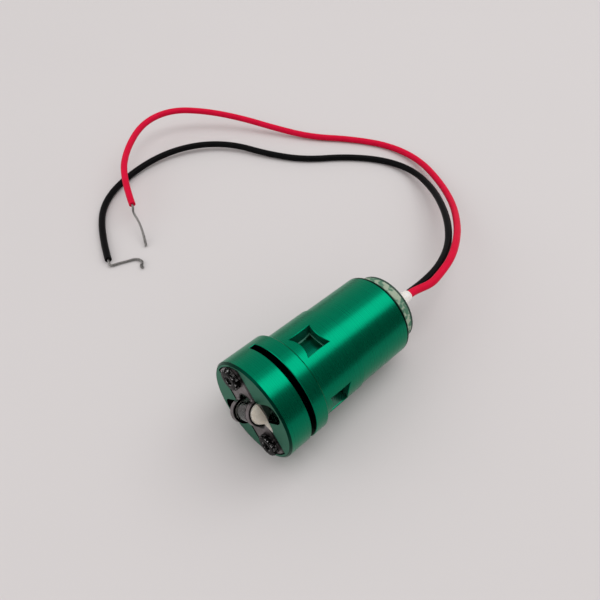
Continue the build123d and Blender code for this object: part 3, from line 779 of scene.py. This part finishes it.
def chip_body():
    """Moulded epoxy with tinned legs."""
    s = Shader("chip_finish")
    point, x, _, _, _ = s.place()
    off = s.math("ABSOLUTE", s.math("SUBTRACT", x, CHIP_X_MM))
    leg = s.math("GREATER_THAN", off, CHIP_BODY_HALF_WIDTH_MM + SURFACE_MARGIN_MM)
    grain = s.noise(point, 12.0, 3.0)
    epoxy = s.mix(grain, (0.012, 0.012, 0.013, 1), (0.03, 0.03, 0.032, 1))
    s.set("Base Color", s.mix(leg, epoxy, (0.62, 0.62, 0.63, 1)))
    s.set("Metallic", leg)
    s.set("Roughness", s.blend(leg, s.span(grain, 0.3, 0.7, 0.45, 0.6), 0.3))
    s.bump(grain, 0.01, 0.4)
    return s


def chip_parts(name, places, half_length, dark, light, print_height=None):
    """Ceramic bodies with tinned ends; above the print height, if there is one, their tops are dark."""
    s = Shader(name)
    point, x, y, z, _ = s.place()
    end = None
    for px, py in places:
        here = s.math("LESS_THAN", s.math("ABSOLUTE", s.math("SUBTRACT", x, px)), CHIP_PART_ZONE_MM)
        off = s.math("ABSOLUTE", s.math("SUBTRACT", y, py))
        far = s.between(off, half_length - END_CAP_MM, half_length + ZONE_MARGIN_MM)
        part = s.math("MULTIPLY", here, far)
        end = part if end is None else s.math("MAXIMUM", end, part)
    grain = s.noise(point, 9.0, 3.0)
    body = s.mix(grain, (*dark, 1), (*light, 1))
    if print_height is not None:
        printed = s.math("GREATER_THAN", z, BOARD_REAR_MM + print_height)
        body = s.mix(printed, body, (0.02, 0.02, 0.022, 1))
    s.set("Base Color", s.mix(end, body, (0.66, 0.66, 0.66, 1)))
    s.set("Metallic", end)
    s.set("Roughness", s.blend(end, 0.5, 0.28))
    s.bump(grain, 0.01, 0.4)
    return s


def translucent_glue(name, dark, light):
    """Set glue: milky, a little uneven, glossy."""
    s = Shader(name, {"IOR": 1.45, "Subsurface Weight": 0.6, "Subsurface Scale": 0.6 * MM})
    s.set("Subsurface Radius", (1.0, 0.9, 0.8))
    mm = s.millimetres()
    lump = s.noise(mm, 1.6, 3.0)
    s.set("Base Color", s.mix(lump, (*dark, 1), (*light, 1)))
    s.set("Roughness", s.span(lump, 0.3, 0.7, 0.18, 0.34))
    s.bump(lump, 0.05, 0.4)
    return s


def table_top():
    """A plain matt table, nearly even in colour."""
    s = Shader("table_finish", {"Roughness": 0.7})
    cloud = s.noise(s.millimetres(), 0.012, 3.0)
    s.set("Base Color", s.mix(cloud, (0.608, 0.587, 0.59, 1), (0.626, 0.605, 0.608, 1)))
    return s


# Studio, in metres and watts: a lamp is its place, width, length and power
FLOOR_HALF = 4.0
FLOOR_SQUARES = 8
CEILING_LAMP = ((0.075, 0.3, 0.7), 0.45, 0.85, 2.16)
FRONT_FILL = ((-0.45, -0.75, 0.6), 0.7, 0.7, 1.6)
FLAG_SIDE = 0.45
FLAG_FRONT = -0.9
FLAG_BACK = 1.3
FLAG_HEIGHT = 0.9
ROOM_COLOUR = (1.0, 0.966, 0.953, 1)
ROOM_STRENGTH = 0.74


def make_floor():
    shape = bmesh.new()
    bmesh.ops.create_grid(shape, x_segments=FLOOR_SQUARES, y_segments=FLOOR_SQUARES, size=FLOOR_HALF)
    mesh = bpy.data.meshes.new("table")
    shape.to_mesh(mesh)
    shape.free()
    floor = link(bpy.data.objects.new("table", mesh))
    paint(table_top(), floor)


def soft_box(name, place, width, length, power):
    """A rectangular lamp at a place, turned to the module."""
    data = bpy.data.lights.new(name, "AREA")
    data.shape = "RECTANGLE"
    data.size = width
    data.size_y = length
    data.energy = power
    lamp = link(bpy.data.objects.new(name, data))
    lamp.location = place
    lamp.rotation_mode = "QUATERNION"
    lamp.rotation_quaternion = Vector(place).to_track_quat("Z", "Y")
    return lamp


def make_flag(name, x, front, back, height):
    """A dark screen beside the table, out of the picture, that the barrel's right flank reflects."""
    mesh = bpy.data.meshes.new(name)
    mesh.from_pydata([(x, front, 0), (x, back, 0), (x, back, height), (x, front, height)], [], [(0, 1, 2, 3)])
    flag = link(bpy.data.objects.new(name, mesh))
    cloth = Shader(name + "_finish", {"Roughness": 0.9})
    weave = cloth.noise(cloth.millimetres(), 0.4)
    cloth.set("Base Color", cloth.mix(weave, (0.2, 0.19, 0.185, 1), (0.24, 0.23, 0.225, 1)))
    paint(cloth, flag)
    flag.visible_camera = False
    flag.visible_diffuse = False
    flag.visible_shadow = False


def make_room():
    """Even light from a pale room."""
    world = bpy.data.worlds.new("room")
    world.use_nodes = True
    walls = world.node_tree.nodes["Background"].inputs
    walls["Color"].default_value = ROOM_COLOUR
    walls["Strength"].default_value = ROOM_STRENGTH
    bpy.context.scene.world = world


def make_studio():
    make_floor()
    soft_box("ceiling_lamp", *CEILING_LAMP)
    soft_box("front_fill", *FRONT_FILL)
    make_flag("right_flag", FLAG_SIDE, FLAG_FRONT, FLAG_BACK, FLAG_HEIGHT)
    make_room()
    bpy.context.scene.view_settings.view_transform = "Standard"


def paint_module():
    anodised = green_anodised()
    tin = metal("tin_solder_finish", (0.5, 0.5, 0.51), (0.72, 0.72, 0.73), 0.28, 7.0)
    gold = metal("gold_plate_finish", (0.7, 0.48, 0.2), (0.9, 0.68, 0.35), 0.25, 5.0)
    clear = glass("clear_glass_finish", False)
    paint(anodised, NODES["housing"], NODES["collimator_sleeve"])
    paint(spring_steel("clip_steel_finish", True), NODES["lens_clip"])
    paint(spring_steel("spring_steel_finish", False), NODES["focus_spring"])
    paint(glass("rod_glass_finish", True), NODES["rod_lens"])
    paint(clear, NODES["collimating_lens"], NODES["diode_window"])
    paint(black_steel(), *screws)
    paint(metal("black_anodised_finish", (0.01, 0.01, 0.01), (0.03, 0.03, 0.03), 0.5, 6.0),
          NODES["lens_retainer"])
    paint(metal("brass_finish", (0.6, 0.42, 0.17), (0.8, 0.6, 0.3), 0.3, 4.0), NODES["diode_holder"])
    paint(gold, NODES["diode_base"], NODES["diode_leads"])
    paint(metal("nickel_finish", (0.5, 0.48, 0.44), (0.7, 0.68, 0.63), 0.3, 5.0), NODES["diode_cap"])
    paint(board_laminate(), NODES["driver_board"])
    paint(chip_body(), NODES["driver_chip"])
    paint(chip_parts("resistor_finish", RESISTOR_PLACES_MM, RESISTOR_HALF_LENGTH_MM,
                     (0.6, 0.58, 0.54), (0.75, 0.73, 0.7), RESISTOR_PRINT_MM),
          NODES["chip_resistors"])
    paint(chip_parts("capacitor_finish", CAPACITOR_PLACES_MM, CAPACITOR_HALF_LENGTH_MM,
                     (0.36, 0.25, 0.15), (0.47, 0.34, 0.22)),
          NODES["chip_capacitors"])
    paint(tin, NODES["wire_solder"], lead_fillets)
    paint(translucent_glue("wire_glue_finish", (0.72, 0.69, 0.65), (0.88, 0.85, 0.81)), glue_blob)
    paint(translucent_glue("end_glue_finish", (0.5, 0.46, 0.39), (0.62, 0.58, 0.51)), end_glue)
    paint(insulation("red_insulation_finish", (0.59, 0.0035, 0.033), (0.65, 0.005, 0.041), 0.4), red_lead)
    paint(insulation("black_insulation_finish", (0.0025, 0.0025, 0.003), (0.004, 0.004, 0.0045), 0.38),
          black_lead)
    paint(metal("tinned_copper_finish", (0.17, 0.165, 0.16), (0.36, 0.35, 0.34), 0.32, 8.0),
          red_strands, black_strands)


paint_module()
make_studio()
